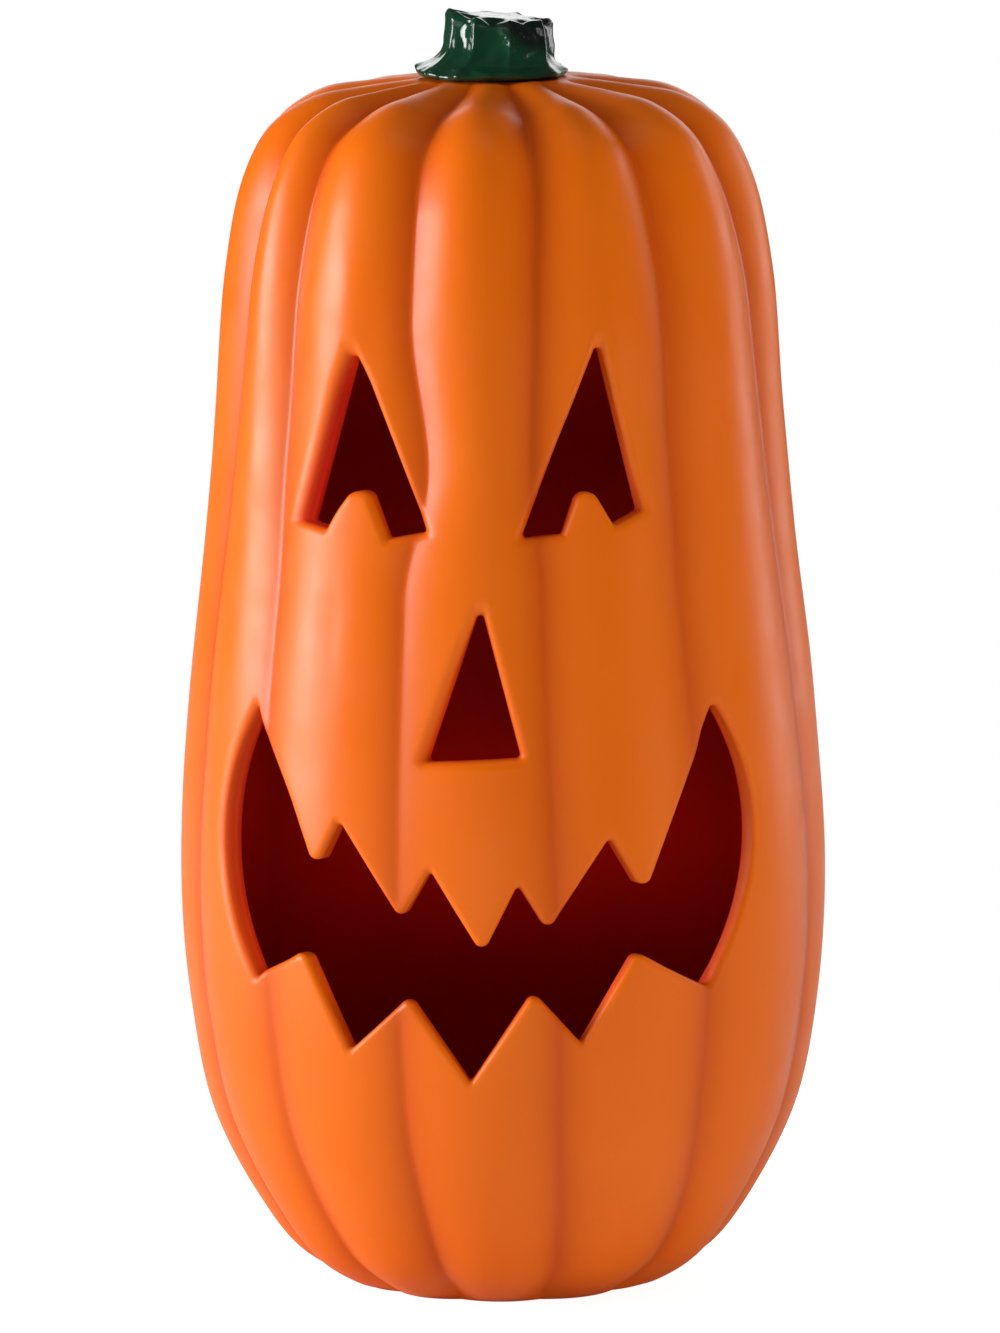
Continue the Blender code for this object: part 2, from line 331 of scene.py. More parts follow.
def cutRings(outer, inner, opening, p):
    # from the outer skin in: a quarter-round rim (rim (1 - cos), rim (1 - sin)), a wall that leans with
    # the lantern's side, a small quarter round inside
    corners = outlineCorners(opening["points"])
    rim, back = opening["rim"], p["innerRim"]
    base = outlineAt(corners, 0.0, opening["mitre"], p["cornerStep"])
    gap = np.linalg.norm(np.roll(base, -1, 0) - base, axis=1)
    parts = np.maximum(1, np.ceil(gap / p["edgeStep"]).astype(int))
    owner = np.repeat(np.arange(len(base)), parts)
    along = (np.arange(parts.sum()) - np.repeat(np.cumsum(parts) - parts, parts)) / np.repeat(parts, parts)

    def ringAt(grow):
        o = outlineAt(corners, grow, opening["mitre"], p["cornerStep"])
        return (o[owner] + (o[(owner + 1) % len(o)] - o[owner]) * along[:, None]) * mm

    line = ringAt(0.0)
    start, most = opening["slope"]
    share = smoothStep(start * mm - line[:, 0], -0.001, 0.009)
    slope = most * mm * share
    _, _, yOut, angle = skinFromFront(outer, line[:, 0], line[:, 1])
    thick = skinFromFront(inner, line[:, 0], line[:, 1])[2] - yOut
    slide = p["lean"] * np.sin(angle) * np.cos(angle)
    rings = []
    for theta in np.radians([90, 76, 63, 50, 38, 26, 14, 4]):
        q, d = ringAt(rim * (1 - math.cos(theta))), rim * mm * (1 - math.sin(theta))
        x, z = q[:, 0] + slide * (thick - d) - slope * (1 - d / thick), q[:, 1]
        rings.append(np.stack([x, skinFromFront(outer, x, z)[2] + d, z], 1))
    room = np.maximum(thick - (rim + back) * mm, 0.3 * mm)
    for part in (0.25, 0.5, 0.75):
        d = rim * mm + room * part
        x, z = line[:, 0] + slide * (thick - d) - slope * (1 - d / thick), line[:, 1]
        rings.append(np.stack([x, skinFromFront(outer, x, z)[2] + d, z], 1))
    for theta in np.radians([0, 30, 60, 90]):
        q, d = ringAt(back * (1 - math.cos(theta))), back * mm * (1 - math.sin(theta))
        rings.append(np.stack([q[:, 0], skinFromFront(inner, q[:, 0], q[:, 1])[2] - d, q[:, 1]], 1))
    return rings, share * min(most / 4, 1)


def insideLoop(points, loop):
    # counts how often a ray to the right of each point crosses the loop
    x, y = points[:, None, 0], points[:, None, 1]
    a, b = loop[None], np.roll(loop, -1, 0)[None]
    cross = (a[..., 1] > y) != (b[..., 1] > y)
    height = np.where(b[..., 1] == a[..., 1], 1e-12, b[..., 1] - a[..., 1])
    at = a[..., 0] + (y - a[..., 1]) / height * (b[..., 0] - a[..., 0])
    return (cross & (x < at)).sum(1) % 2 == 1


def nearLoop(points, loop):
    # shortest distance from each point to the loop's edges
    best = np.full(len(points), 1e9)
    b = np.roll(loop, -1, 0)
    for i in range(0, len(points), 2000):
        q = points[i:i + 2000, None]
        d = (b - loop)[None]
        t = np.clip(((q - loop[None]) * d).sum(-1) / (d * d).sum(-1), 0, 1)
        best[i:i + 2000] = np.linalg.norm(q - loop[None] - t[..., None] * d, axis=-1).min(1)
    return best


def skinMesh(skin, loops, perRib, rowStep, clear):
    # a grid round the whole body, its face patch re-laid round the openings; returns points and triangles;
    # columns crowd towards the grooves by u = v - gather sin(2 pi v) / 2 pi
    shape = skin["shape"]
    ribFlat = shape["ribFlat"] * mm
    lowBand = np.interp(shape["faceBand"][0] * mm, skin["z"], skin["s"])
    highBand = np.interp(shape["faceBand"][1] * mm, skin["z"], skin["s"])
    total = skin["s"][-1]
    cuts = [0, lowBand, highBand, total]
    counts = [max(2, int(round((b - a) / (rowStep * mm)))) for a, b in zip(cuts, cuts[1:])]
    spans = [np.linspace(a, b, n, endpoint=False) for a, b, n in zip(cuts, cuts[1:], counts)]
    rows = np.concatenate(spans + [[total]])
    first, last = counts[0], counts[0] + counts[1]
    v = np.arange(perRib) / perRib
    u = v - shape["gather"] * np.sin(2 * np.pi * v) / (2 * np.pi)
    cols = (np.arange(shape["ribCount"])[:, None] + u[None]).ravel()
    size = (len(rows), len(cols))
    grid = skinPoint(skin, np.broadcast_to(cols, size), np.broadcast_to(rows[:, None], size))
    points = grid.reshape(-1, 3)
    wide = len(cols)
    i, j = np.meshgrid(np.arange(len(rows) - 1), np.arange(wide), indexing="ij")
    colLow, colHigh = shape["faceRibs"][0] * perRib, shape["faceRibs"][1] * perRib
    patch = (i >= first) & (i < last) & (j >= colLow) & (j < colHigh)
    i, j = i[~patch], j[~patch]
    k = (j + 1) % wide
    a, b, c, d = i * wide + j, i * wide + k, (i + 1) * wide + k, (i + 1) * wide + j
    tris = [np.stack([a, b, c], 1), np.stack([a, c, d], 1)]
    # face patch laid flat: ribs run across, the profile's length runs up
    pi, pj = np.meshgrid(np.arange(first, last + 1), np.arange(colLow, colHigh + 1), indexing="ij")
    ids = (pi * wide + pj).ravel()
    flat = np.stack([cols[pj.ravel()] * ribFlat, rows[pi.ravel()]], 1)
    front = points[ids][:, [0, 2]]
    edge = ((pi == first) | (pi == last) | (pj == colLow) | (pj == colHigh)).ravel()
    keep = np.ones(len(ids), bool)
    flatLoops = []
    for loop in loops:
        around = loop[:, [0, 2]]
        keep &= ~insideLoop(front, around)
        keep &= nearLoop(front, around) > clear * mm
        col, s, _, _ = skinFromFront(skin, around[:, 0], around[:, 1])
        flatLoops.append(np.stack([col * ribFlat, s], 1))
    keep |= edge
    ids, flat, edge = ids[keep], flat[keep], edge[keep]
    # the patch's border, in order, by angle round its middle in a square frame
    border = np.flatnonzero(edge)
    mid = (flat[border].min(0) + flat[border].max(0)) / 2
    rel = (flat[border] - mid) / np.ptp(flat[border], axis=0)
    border = border[np.argsort(np.arctan2(rel[:, 1], rel[:, 0]))]
    edges = [tuple(e) for e in np.stack([border, np.roll(border, -1)], 1).tolist()]
    coords, known, start = [flat], [ids], len(flat)
    base = len(points)
    for flatLoop, loop in zip(flatLoops, loops):
        n = len(flatLoop)
        r = np.arange(n) + start
        edges += [tuple(e) for e in np.stack([r, np.roll(r, -1)], 1).tolist()]
        coords.append(flatLoop)
        known.append(np.arange(n) + base)
        points = np.vstack([points, loop])
        base += n
        start += n
    coords, known = np.vstack(coords), np.concatenate(known)
    out = delaunay_2d_cdt([Vector(p) for p in (coords * 1000).tolist()], edges, [], 0, 1e-6, True)
    if len(out[0]) != len(coords):
        raise RuntimeError("outlines cross: %d points became %d" % (len(coords), len(out[0])))
    source = np.array([o[0] for o in out[3]])
    t = source[np.array(out[2])]
    middle = coords[t].mean(1)
    inside = np.zeros(len(t), bool)
    for flatLoop in flatLoops:
        inside |= insideLoop(middle, flatLoop)
    tris.append(known[t[~inside]])
    # flat discs close the foot and the crown
    for ring, way in ((np.arange(wide), -1), (np.arange(wide) + (len(rows) - 1) * wide, 1)):
        hub = points[ring].mean(0)
        share = np.array([0.75, 0.5, 0.25])
        discs = hub + (points[ring][None] - hub) * share[:, None, None]
        start = len(points)
        points = np.vstack([points, discs.reshape(-1, 3), hub[None]])
        layers = [ring] + [start + n * wide + np.arange(wide) for n in range(3)]
        for lo, hi in zip(layers, layers[1:]):
            ln, hn = np.roll(lo, -1), np.roll(hi, -1)
            f = [np.stack([lo, ln, hn], 1), np.stack([lo, hn, hi], 1)]
            tris += f if way > 0 else [g[:, ::-1] for g in f]
        f = np.stack([layers[-1], np.roll(layers[-1], -1), np.full(wide, len(points) - 1)], 1)
        tris.append(f if way > 0 else f[:, ::-1])
    return points, np.vstack(tris)


def markMesh(mesh, name, values):
    # a number on each vertex, for a material to read
    mesh.attributes.new(name, "FLOAT", "POINT").data.foreach_set("value", values.astype(np.float32))


def meshPiece(name, points, tris, marks=(), weld=2e-6):
    # one closed mesh from the points that the triangles use, vertices nearer than weld merged,
    # shaded smooth; marks become attributes
    used, corners = np.unique(tris, return_inverse=True)
    mesh = bpy.data.meshes.new(name)
    mesh.from_pydata(points[used], [], corners.reshape(-1, 3))
    for key, values in marks:
        markMesh(mesh, key, values[used])
    bm = bmesh.new()
    bm.from_mesh(mesh)
    bmesh.ops.remove_doubles(bm, verts=bm.verts, dist=weld)
    bm.to_mesh(mesh)
    bm.free()
    mesh.polygons.foreach_set("use_smooth", np.ones(len(mesh.polygons), bool))
    # an edge that hasn't two faces is open
    edgeOf = np.empty(len(mesh.loops), np.int32)
    mesh.loops.foreach_get("edge_index", edgeOf)
    openEdges = int((np.bincount(edgeOf) != 2).sum())
    obj = bpy.data.objects.new(name, mesh)
    scene.collection.objects.link(obj)
    print("%s: %d triangles, %d open edges" % (name, len(mesh.polygons), openEdges))
    return obj


def buildShell(shape, face):
    # an outer and an inner skin, joined through each opening by its stack of rings
    outer = makeSkin(shape, 0.0, 1.0)
    inner = makeSkin(shape, shape["wall"] * mm, shape["innerShare"])
    cuts = [cutRings(outer, inner, face[k], face) for k in ("leftEye", "rightEye", "nose", "mouth")]
    points, tris = skinMesh(outer, [c[0][0] for c in cuts],
                            shape["columnsPerRib"], shape["rowStep"], shape["clear"])
    inPoints, inTris = skinMesh(inner, [c[0][-1] for c in cuts],
                                shape["innerColumnsPerRib"], shape["innerRowStep"], shape["innerClear"])
    allPoints, allTris = [points, inPoints], [tris, inTris[:, ::-1] + len(points)]
    base = len(points) + len(inPoints)
    inside = [np.zeros(len(points)), np.ones(len(inPoints))]
    # how far inside each ring counts, for painted shade and a duller finish: none on the rim, growing along
    # the wall, sooner where the wall slopes
    ringIndex = np.arange(len(cuts[0][0]))
    steep = np.interp(ringIndex, [3, 7, 10, 12], [0, 0.25, 0.5, 1])[:, None]
    gentle = np.interp(ringIndex, [2, 5, 9, 12], [0, 0.5, 0.95, 1])[:, None]
    for rings, slope in cuts:
        n = len(rings[0])
        stack = np.vstack(rings)
        i, j = np.meshgrid(np.arange(len(rings) - 1), np.arange(n), indexing="ij")
        i, j = i.ravel(), j.ravel()
        a, b = i * n + j + base, i * n + (j + 1) % n + base
        c, d = (i + 1) * n + (j + 1) % n + base, (i + 1) * n + j + base
        allTris += [np.stack([a, b, c], 1), np.stack([a, c, d], 1)]
        allPoints.append(stack)
        inside.append((steep + (gentle - steep) * slope).ravel())
        base += len(stack)
    return np.vstack(allPoints), np.vstack(allTris), np.concatenate(inside)


shellPoints, shellTris, shellInside = buildShell(shellShape, faceShape)
shell = meshPiece("shellMoulded", shellPoints, shellTris, [("inside", shellInside)])
print("shell built")

# stem: flared foot, fluted neck, a ragged sheared top
stemShape = {
    # radius, height above its underside, flute depth, raggedness, mm
    "profile": [
        (25.2, 0.0, 0.4, 0.8), (27.2, 0.7, 0.8, 1.2), (27.7, 2.0, 1.1, 1.2), (26.0, 3.2, 1.4, 0.9),
        (22.9, 5.0, 2.0, 0.8), (20.9, 8.2, 2.6, 0.9), (19.9, 13.0, 2.6, 1.0), (19.5, 18.0, 2.5, 1.1),
        (19.3, 21.0, 2.3, 1.2), (18.2, 23.0, 1.9, 1.0), (15.8, 22.9, 1.4, 0.7), (11.0, 22.0, 0.8, 0.5),
        (5.0, 21.7, 0.2, 0.2),
    ],
    "ridges": [-58, -23, 17, 62, 112, 162, 212, 258],   # degrees round from the face's middle
    "fluteWeights": [0.9, 1.3, 0.7, 1.2, 0.8, 1.1, 0.9, 1.2],
    "shiftX": (-1.7, 0.9),   # mm, at the foot and at the top
    "shear": 0.085,
    # notches in the top edge: degrees round, half width, depth in mm
    "notches": [(-6, 7, 1.6), (36, 9, 1.1), (-80, 9, 1.2), (95, 10, 1.0), (150, 12, 1.4), (215, 9, 1.2)],
    "seat": 417.6,           # mm, the crown's height
    "gap": 0.3,
    "paintedShadeFrom": (424, 431),  # mm, heights between which painted shade darkens the +X side, for a dark reflection
    "around": 168,
    "rows": 7,
}


def stemMesh(p):
    # a profile carried round: the radius dips between ridges by flute sin(pi u)^0.8, slow crossing sine
    # waves make it ragged, and each height is sheared down towards +X
    prof = np.array(p["profile"], float)
    t = splineTable(prof[:, :3], p["rows"])
    ragged = np.interp(np.linspace(0, 1, len(t["s"])), np.linspace(0, 1, len(prof)), prof[:, 3]) * mm
    angle = np.radians(-180 + 360 * np.arange(p["around"]) / p["around"])
    ridges = np.radians(np.array(p["ridges"] + [p["ridges"][0] + 360], float))
    turned = np.mod(angle - ridges[0], 2 * np.pi) + ridges[0]
    k = np.clip((turned[:, None] >= ridges).sum(1) - 1, 0, len(p["ridges"]) - 1)
    u = (turned - ridges[k]) / (ridges[k + 1] - ridges[k])
    rise = t["z"][:, None]
    flute = np.array(p["fluteWeights"])[k] * np.sin(np.pi * u) ** 0.8
    twist = 0.5 * np.sin(rise * 230 + 2 * angle) + 0.3 * np.sin(rise * 410 - angle)
    wave = (0.45 * np.sin(3 * angle + 0.7 + twist) + 0.3 * np.sin(7 * angle + 2.1 - 2 * twist)
            + 0.25 * np.sin(13 * angle + 0.4 + 3 * twist))
    r = t["r"][:, None] - t["depth"][:, None] * flute + ragged[:, None] * (wave - 0.6)
    foot, head = p["shiftX"]
    x = r * np.sin(angle) + (foot + (head - foot) * smoothStep(rise, 0, 0.012)) * mm
    y = -r * np.cos(angle)
    lean = -p["shear"] * (r * np.sin(angle) + 18.5 * mm) * (rise / (22 * mm))
    # the foot's lip lifts between the ridges, the top edge dips there
    lip = smoothStep(t["r"][:, None], 0.0235, 0.0265) * smoothStep(-np.abs(rise - 0.0015), -0.003, -0.001)
    top = smoothStep(rise, 0.0185, 0.0228) * smoothStep(t["r"][:, None], 0.010, 0.0165)
    dip = 0.5 + 0.5 * np.sin(5 * angle + 1.0) * np.sin(2 * angle + 0.3)
    for at, wide, deep in p["notches"]:
        away = np.remainder(np.degrees(angle) - at + 180, 360) - 180
        dip = dip + deep / 1.2 * np.exp(-(away / wide) ** 2)
    under = p["seat"] * mm + p["gap"] * mm
    z = under + rise + lean + lip * 0.0007 * wave - top * (0.0013 * flute + 0.0012 * dip)
    z = np.where(rise <= 1e-9, under, z)
    points = np.stack([x, y, z], -1)
    n = p["around"]
    rows = len(points)
    i, j = np.meshgrid(np.arange(rows - 1), np.arange(n), indexing="ij")
    i, j = i.ravel(), j.ravel()
    a, b, c, d = i * n + j, i * n + (j + 1) % n, (i + 1) * n + (j + 1) % n, (i + 1) * n + j
    low, high = points[0].mean(0), points[-1].mean(0)
    flat = np.vstack([points.reshape(-1, 3), low, high])
    ring = np.arange(n)
    nxt = (ring + 1) % n
    tris = [np.stack([a, b, c], 1), np.stack([a, c, d], 1),
            np.stack([nxt, ring, np.full(n, rows * n)], 1),
            np.stack([ring + (rows - 1) * n, nxt + (rows - 1) * n, np.full(n, rows * n + 1)], 1)]
    return flat, np.vstack(tris)


stemPoints, stemTris = stemMesh(stemShape)
stem = meshPiece("stemFluted", stemPoints, stemTris)
print("stem built")

# finishes
orangeFinish = {
    "colour": (0.78, 0.134, 0.002),
    "deep": (0.54, 0.066, 0.002),     # painted shade along the grooves
    "pale": (0.82, 0.170, 0.006),
    # painted shade: dark red within the openings and over the inside
    "inside": (0.60, 0.006, 0.0008),
    "roughness": 0.37,
    "roughnessSpread": 0.07,
    "patchScale": 14.0,
    "peelScale": 900.0,
    "peel": 0.02,                     # bump strength of the fine skin
    "peelDepth": 0.0003,              # m
    "patchShare": 0.35,
    "insideDull": 0.5,                # added roughness
    "specular": 0.28,
}
greenFinish = {
    "colour": (0.006, 0.050, 0.022),
    # near-black: random patches, and painted shade on the +X side near the top
    "dark": (0.006, 0.010, 0.008),
    "roughness": 0.14,
    "roughnessSpread": 0.06,
    "patchScale": 55.0,
    "peelScale": 170.0,
    "peel": 0.6,
    "peelDepth": 0.0014,
    "patchShare": 0.5,
    "specular": 0.36,
    "coat": 0.24,
    "coatRoughness": 0.06,
    "coatIor": 1.7,
}


def addNode(tree, kind, place, **values):
    # a node of a kind at a place in its tree, with its settings
    node = tree.nodes.new(kind)
    node.location = place
    for key, value in values.items():
        setattr(node, key, value)
    return node


def castSkinGroup():
    # cast skin: slow colour patches, roughness in patches between roughness - spread and + spread,
    # and a fine orange-peel height
    g = bpy.data.node_groups.new("castSkin", "ShaderNodeTree")
    for name in ("Patch Scale", "Peel Scale", "Roughness", "Spread"):
        g.interface.new_socket(name, in_out="INPUT", socket_type="NodeSocketFloat")
    for name in ("Patches", "Roughness", "Height"):
        g.interface.new_socket(name, in_out="OUTPUT", socket_type="NodeSocketFloat")
    gin = addNode(g, "NodeGroupInput", (-900, 0))
    gout = addNode(g, "NodeGroupOutput", (500, 0))
    coord = addNode(g, "ShaderNodeTexCoord", (-900, 300))
    patches = addNode(g, "ShaderNodeTexNoise", (-600, 300))
    patches.inputs["Detail"].default_value = 3.0
    sheen = addNode(g, "ShaderNodeTexNoise", (-600, 0))
    sheen.inputs["Detail"].default_value = 5.0
    sheen.inputs["Roughness"].default_value = 0.6
    peel = addNode(g, "ShaderNodeTexNoise", (-600, -300))
    peel.inputs["Detail"].default_value = 2.0
    twice = addNode(g, "ShaderNodeMath", (-750, 0), operation="MULTIPLY")
    twice.inputs[1].default_value = 3.7
    low = addNode(g, "ShaderNodeMath", (-300, -80), operation="SUBTRACT")
    high = addNode(g, "ShaderNodeMath", (-300, -220), operation="ADD")
    ramp = addNode(g, "ShaderNodeMapRange", (0, 0))
    ramp.inputs["From Min"].default_value = 0.3
    ramp.inputs["From Max"].default_value = 0.7
    contrast = addNode(g, "ShaderNodeMapRange", (0, 300))
    contrast.inputs["From Min"].default_value = 0.35
    contrast.inputs["From Max"].default_value = 0.65
    link = g.links.new
    for noise in (patches, sheen, peel):
        link(coord.outputs["Object"], noise.inputs["Vector"])
    link(gin.outputs["Patch Scale"], patches.inputs["Scale"])
    link(gin.outputs["Patch Scale"], twice.inputs[0])
    link(twice.outputs[0], sheen.inputs["Scale"])
    link(gin.outputs["Peel Scale"], peel.inputs["Scale"])
    link(gin.outputs["Roughness"], low.inputs[0])
    link(gin.outputs["Spread"], low.inputs[1])
    link(gin.outputs["Roughness"], high.inputs[0])
    link(gin.outputs["Spread"], high.inputs[1])
    link(sheen.outputs["Fac"], ramp.inputs["Value"])
    link(low.outputs[0], ramp.inputs["To Min"])
    link(high.outputs[0], ramp.inputs["To Max"])
    link(patches.outputs["Fac"], contrast.inputs["Value"])
    link(contrast.outputs["Result"], gout.inputs["Patches"])
    link(ramp.outputs["Result"], gout.inputs["Roughness"])
    link(peel.outputs["Fac"], gout.inputs["Height"])
    return g


castSkin = castSkinGroup()


def newFinish(name, p):
    # a Principled material with the cast skin group on its roughness and its bump
    mat = bpy.data.materials.new(name)
    mat.use_nodes = True
    tree = mat.node_tree
    shader = tree.nodes["Principled BSDF"]
    shader.location = (600, 0)
    tree.nodes["Material Output"].location = (900, 0)
    skin = addNode(tree, "ShaderNodeGroup", (-300, 0), node_tree=castSkin)
    skin.inputs["Patch Scale"].default_value = p["patchScale"]
    skin.inputs["Peel Scale"].default_value = p["peelScale"]
    skin.inputs["Roughness"].default_value = p["roughness"]
    skin.inputs["Spread"].default_value = p["roughnessSpread"]
    bump = addNode(tree, "ShaderNodeBump", (300, -300))
    bump.inputs["Strength"].default_value = p["peel"]
    bump.inputs["Distance"].default_value = p["peelDepth"]
    tree.links.new(skin.outputs["Height"], bump.inputs["Height"])
    tree.links.new(bump.outputs["Normal"], shader.inputs["Normal"])
    tree.links.new(skin.outputs["Roughness"], shader.inputs["Roughness"])
    shader.inputs["Specular IOR Level"].default_value = p["specular"]
    return mat, tree, shader, skin


def mixColour(tree, place, a, b):
    # a mix from colour a to colour b: factor is input 0, the colours 6 and 7, the result output 2
    mix = addNode(tree, "ShaderNodeMix", place, data_type="RGBA")
    mix.inputs[6].default_value = (*a, 1)
    mix.inputs[7].default_value = (*b, 1)
    return mix


def orangeMaterial(p):
    # orange with slow paler patches, darker along the grooves by painted shade and dark red within by
    # painted shade, where the piece's groove-shade and inside attributes say
    mat, tree, shader, skin = newFinish("satinOrange", p)
    patch = mixColour(tree, (0, 200), p["colour"], p["pale"])
    paintedGrooveShade = mixColour(tree, (300, 200), p["colour"], p["deep"])
    soften = addNode(tree, "ShaderNodeMath", (-150, 350), operation="MULTIPLY")
    soften.inputs[1].default_value = p["patchShare"]
    paintedShadeNode = addNode(tree, "ShaderNodeAttribute", (0, 450), attribute_name="paintedGrooveShade")
    within = addNode(tree, "ShaderNodeAttribute", (300, 450), attribute_name="inside")
    insideShade = mixColour(tree, (450, 300), p["colour"], p["inside"])
    tree.links.new(skin.outputs["Patches"], soften.inputs[0])
    tree.links.new(soften.outputs[0], patch.inputs[0])
    tree.links.new(patch.outputs[2], paintedGrooveShade.inputs[6])
    tree.links.new(paintedShadeNode.outputs["Fac"], paintedGrooveShade.inputs[0])
    tree.links.new(paintedGrooveShade.outputs[2], insideShade.inputs[6])
    tree.links.new(within.outputs["Fac"], insideShade.inputs[0])
    # the inside is duller: roughness + insideDull * inside
    dull = addNode(tree, "ShaderNodeMath", (300, 0), operation="MULTIPLY_ADD")
    dull.inputs[1].default_value = p["insideDull"]
    tree.links.new(within.outputs["Fac"], dull.inputs[0])
    tree.links.new(skin.outputs["Roughness"], dull.inputs[2])
    tree.links.new(dull.outputs[0], shader.inputs["Roughness"])
    tree.links.new(insideShade.outputs[2], shader.inputs["Base Color"])
    return mat


def greenMaterial(p):
    # wet-looking green paint, near-black by patchShare * patches (random tone) + the piece's shade
    # attribute (painted shade)
    mat, tree, shader, skin = newFinish("glossGreen", p)
    paint = mixColour(tree, (300, 200), p["colour"], p["dark"])
    paintedShadeNode = addNode(tree, "ShaderNodeAttribute", (0, 450), attribute_name="paintedShade")
    both = addNode(tree, "ShaderNodeMath", (150, 350), operation="MULTIPLY_ADD")
    both.inputs[1].default_value = p["patchShare"]
    both.use_clamp = True
    tree.links.new(skin.outputs["Patches"], both.inputs[0])
    tree.links.new(paintedShadeNode.outputs["Fac"], both.inputs[2])
    tree.links.new(both.outputs[0], paint.inputs[0])
    tree.links.new(paint.outputs[2], shader.inputs["Base Color"])
    shader.inputs["Coat Weight"].default_value = p["coat"]
    shader.inputs["Coat Roughness"].default_value = p["coatRoughness"]
    shader.inputs["Coat IOR"].default_value = p["coatIor"]
    return mat


def vertexArray(obj):
    # the piece's vertices as rows of x, y, z
    co = np.empty(len(obj.data.vertices) * 3, np.float32)
    obj.data.vertices.foreach_get("co", co)
    return co.reshape(-1, 3).astype(float)


def paintGrooveShade(obj, shape):
    # painted groove shade: 0.9 at the bottom of a groove, fading out up its sides: the rib sink raised to a
    # power
    co = vertexArray(obj)
    z = co[:, 2]
    g = grooveAngles(shape, z)
    angle = np.arctan2(co[:, 0], -co[:, 1])
    angle = np.where(angle < g[:, 0], angle + 2 * np.pi, angle)
    _, u = ribAt(g, angle)
    sink = ribSink(shape, np.clip(u, 0, 1), z)
    reach = smoothStep(z, 0.0, 0.02)
    markMesh(obj.data, "paintedGrooveShade", np.clip(sink, 0, 1) ** 2.2 * reach * 0.9)


def shadeMark(obj, p):
    # painted shade standing in for a dark reflection: 1 towards the top on the +X side, past a slanting
    # line, 0 elsewhere
    co = vertexArray(obj)
    low, high = p["paintedShadeFrom"]
    past = smoothStep(co[:, 0] + (co[:, 2] - 434 * mm) * 0.9, 0, 10 * mm)
    markMesh(obj.data, "paintedShade", past * smoothStep(co[:, 2], low * mm, high * mm))


paintGrooveShade(shell, shellShape)
shadeMark(stem, stemShape)
shell.data.materials.append(orangeMaterial(orangeFinish))
stem.data.materials.append(greenMaterial(greenFinish))
print("finishes made")

for piece, node, slot in ((shell, "shell", "shell"), (stem, "stem", "stem")):
    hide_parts(node)
    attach(piece, "root")

# studio: a broad soft light on the left, weaker ones behind, behind on the right and overhead,
# and low fill lights in front and on the right
studio = {
    # place, aim height, width and height in metres, watts, whether it leaves a highlight
    "key": ((-2.35, -0.54, 0.5), 0.22, (1.35, 1.2), 78, True),
    "top": ((0.1, 2.0, 0.95), 0.4, (2.0, 1.0), 9, True),
    "over": ((0.1, -0.35, 2.6), 0.4, (1.5, 1.0), 18, False),
    "front": ((0.0, -1.3, 0.06), 0.1, (1.0, 0.3), 5.8, False),
    "side": ((1.4, -0.55, 0.06), 0.1, (0.7, 0.5), 12.6, False),
    "rim": ((1.7, 1.4, 0.45), 0.22, (0.8, 1.6), 11, True),
}
surround = 0.05     # strength of the white room, except to the camera
floorShape = {
    "radius": 3.0,
    "fade": (0.22, 0.6),     # m from the middle, from lit floor to plain white
    "paint": 0.85,
    "seenPaint": 0.45,       # to the camera, which also sees it glow
    "glow": 0.92,
    "corners": 96,
}


def areaLight(name, place, aimHeight, size, power, gloss):
    # a white panel turned to face the lantern's axis; without gloss it lights but leaves no highlight
    data = bpy.data.lights.new(name, "AREA")
    data.shape = "RECTANGLE"
    data.size, data.size_y = size
    data.energy = power
    obj = bpy.data.objects.new(name, data)
    away = Vector(place) - Vector((0, 0, aimHeight))
    obj.matrix_world = Matrix.Translation(Vector(place)) @ away.to_track_quat("Z", "Y").to_matrix().to_4x4()
    obj.visible_glossy = gloss
    scene.collection.objects.link(obj)


for lamp, settings in studio.items():
    areaLight(lamp + "Light", *settings)


def whiteRoom(strength):
    # a weak white surround for lighting, plain white to the camera
    world = bpy.data.worlds.new("whiteRoom")
    scene.world = world
    world.use_nodes = True
    t = world.node_tree
    t.nodes.clear()
    out = addNode(t, "ShaderNodeOutputWorld", (600, 0))
    mix = addNode(t, "ShaderNodeMixShader", (400, 0))
    soft = addNode(t, "ShaderNodeBackground", (100, 100))
    soft.inputs["Color"].default_value = (1, 1, 1, 1)
    soft.inputs["Strength"].default_value = strength
    white = addNode(t, "ShaderNodeBackground", (100, -100))
    white.inputs["Color"].default_value = (1, 1, 1, 1)
    white.inputs["Strength"].default_value = 1.0
    path = addNode(t, "ShaderNodeLightPath", (100, 400))
    t.links.new(path.outputs["Is Camera Ray"], mix.inputs[0])
    t.links.new(soft.outputs[0], mix.inputs[1])
    t.links.new(white.outputs[0], mix.inputs[2])
    t.links.new(mix.outputs[0], out.inputs[0])


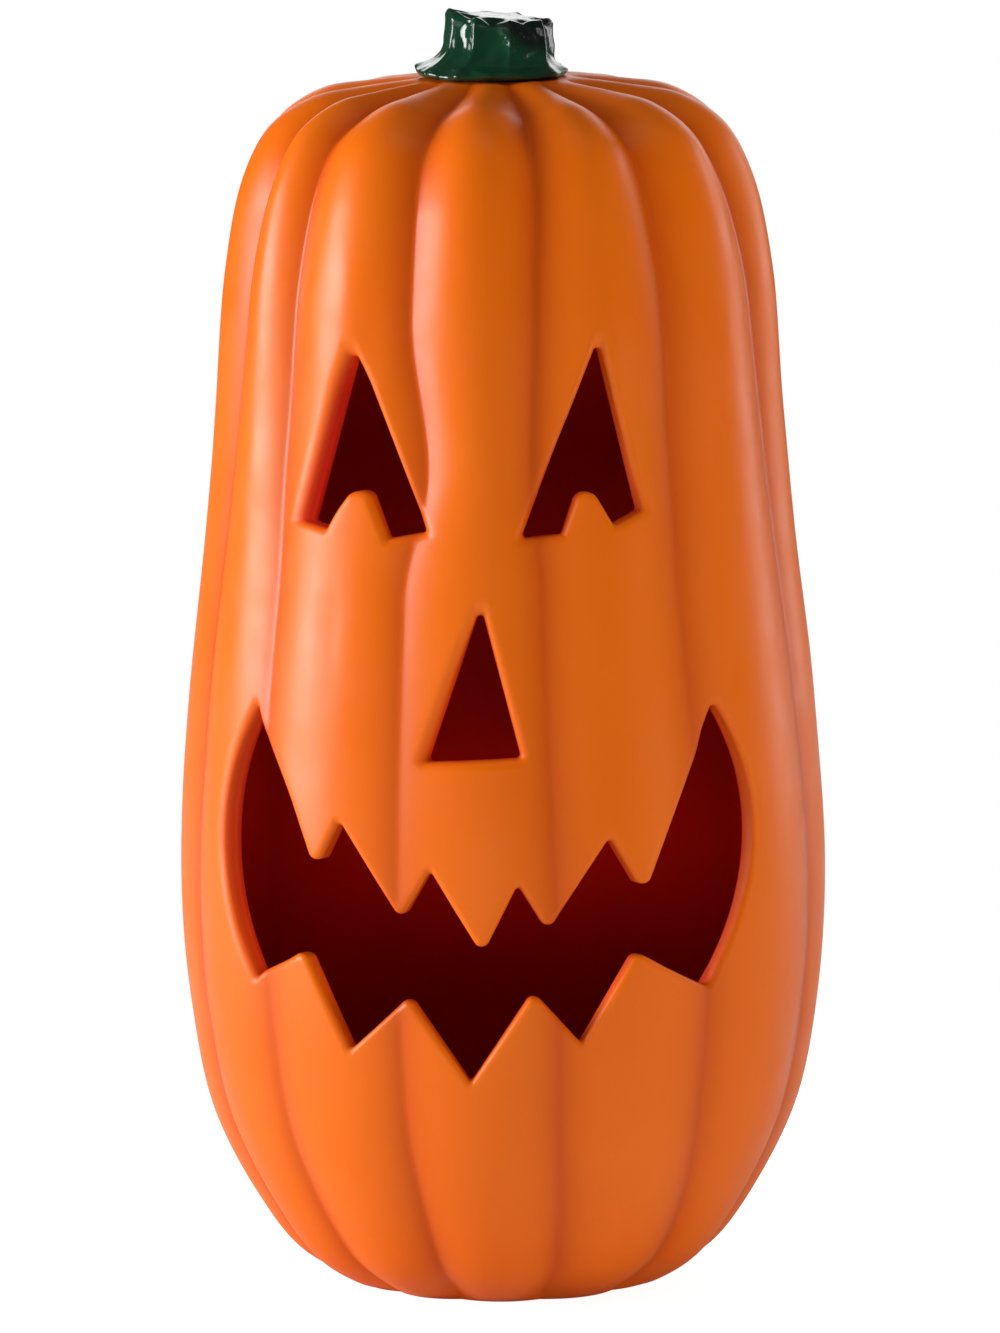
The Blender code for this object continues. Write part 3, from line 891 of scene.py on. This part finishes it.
def whiteFloor(p):
    # a disc that is a lit pale floor near the lantern and plain white to the camera further out
    n = p["corners"]
    ring = np.radians(np.arange(n) * 360 / n)
    edge = np.stack([np.sin(ring), np.cos(ring), np.zeros(n)], 1) * p["radius"]
    mesh = bpy.data.meshes.new("paleFloor")
    mesh.from_pydata(edge, [], [list(range(n - 1, -1, -1))])
    obj = bpy.data.objects.new("paleFloor", mesh)
    scene.collection.objects.link(obj)
    mat = bpy.data.materials.new("paleFloor")
    mat.use_nodes = True
    t = mat.node_tree
    shader = t.nodes["Principled BSDF"]
    shader.inputs["Roughness"].default_value = 0.9
    shader.inputs["Emission Color"].default_value = (1, 1, 1, 1)
    out = t.nodes["Material Output"]
    coord = addNode(t, "ShaderNodeTexCoord", (-800, -300))
    size = addNode(t, "ShaderNodeVectorMath", (-600, -300), operation="LENGTH")
    fade = addNode(t, "ShaderNodeMapRange", (-400, -300), interpolation_type="SMOOTHSTEP")
    fade.inputs["From Min"].default_value = p["fade"][0]
    fade.inputs["From Max"].default_value = p["fade"][1]
    path = addNode(t, "ShaderNodeLightPath", (-400, 300))
    both = addNode(t, "ShaderNodeMath", (-150, 200), operation="MULTIPLY")
    lift = addNode(t, "ShaderNodeMath", (-150, 0), operation="MULTIPLY")
    lift.inputs[1].default_value = p["glow"]
    white = addNode(t, "ShaderNodeEmission", (100, -300))
    mix = addNode(t, "ShaderNodeMixShader", (350, 0))
    paint = mixColour(t, (-150, 450), (p["paint"],) * 3, (p["seenPaint"],) * 3)
    t.links.new(path.outputs["Is Camera Ray"], paint.inputs[0])
    t.links.new(paint.outputs[2], shader.inputs["Base Color"])
    t.links.new(coord.outputs["Object"], size.inputs[0])
    t.links.new(size.outputs["Value"], fade.inputs["Value"])
    t.links.new(fade.outputs["Result"], both.inputs[0])
    t.links.new(path.outputs["Is Camera Ray"], both.inputs[1])
    t.links.new(path.outputs["Is Camera Ray"], lift.inputs[0])
    t.links.new(lift.outputs[0], shader.inputs["Emission Strength"])
    t.links.new(both.outputs[0], mix.inputs[0])
    t.links.new(shader.outputs[0], mix.inputs[1])
    t.links.new(white.outputs[0], mix.inputs[2])
    t.links.new(mix.outputs[0], out.inputs["Surface"])
    mesh.materials.append(mat)


whiteRoom(surround)
whiteFloor(floorShape)
print("studio set")
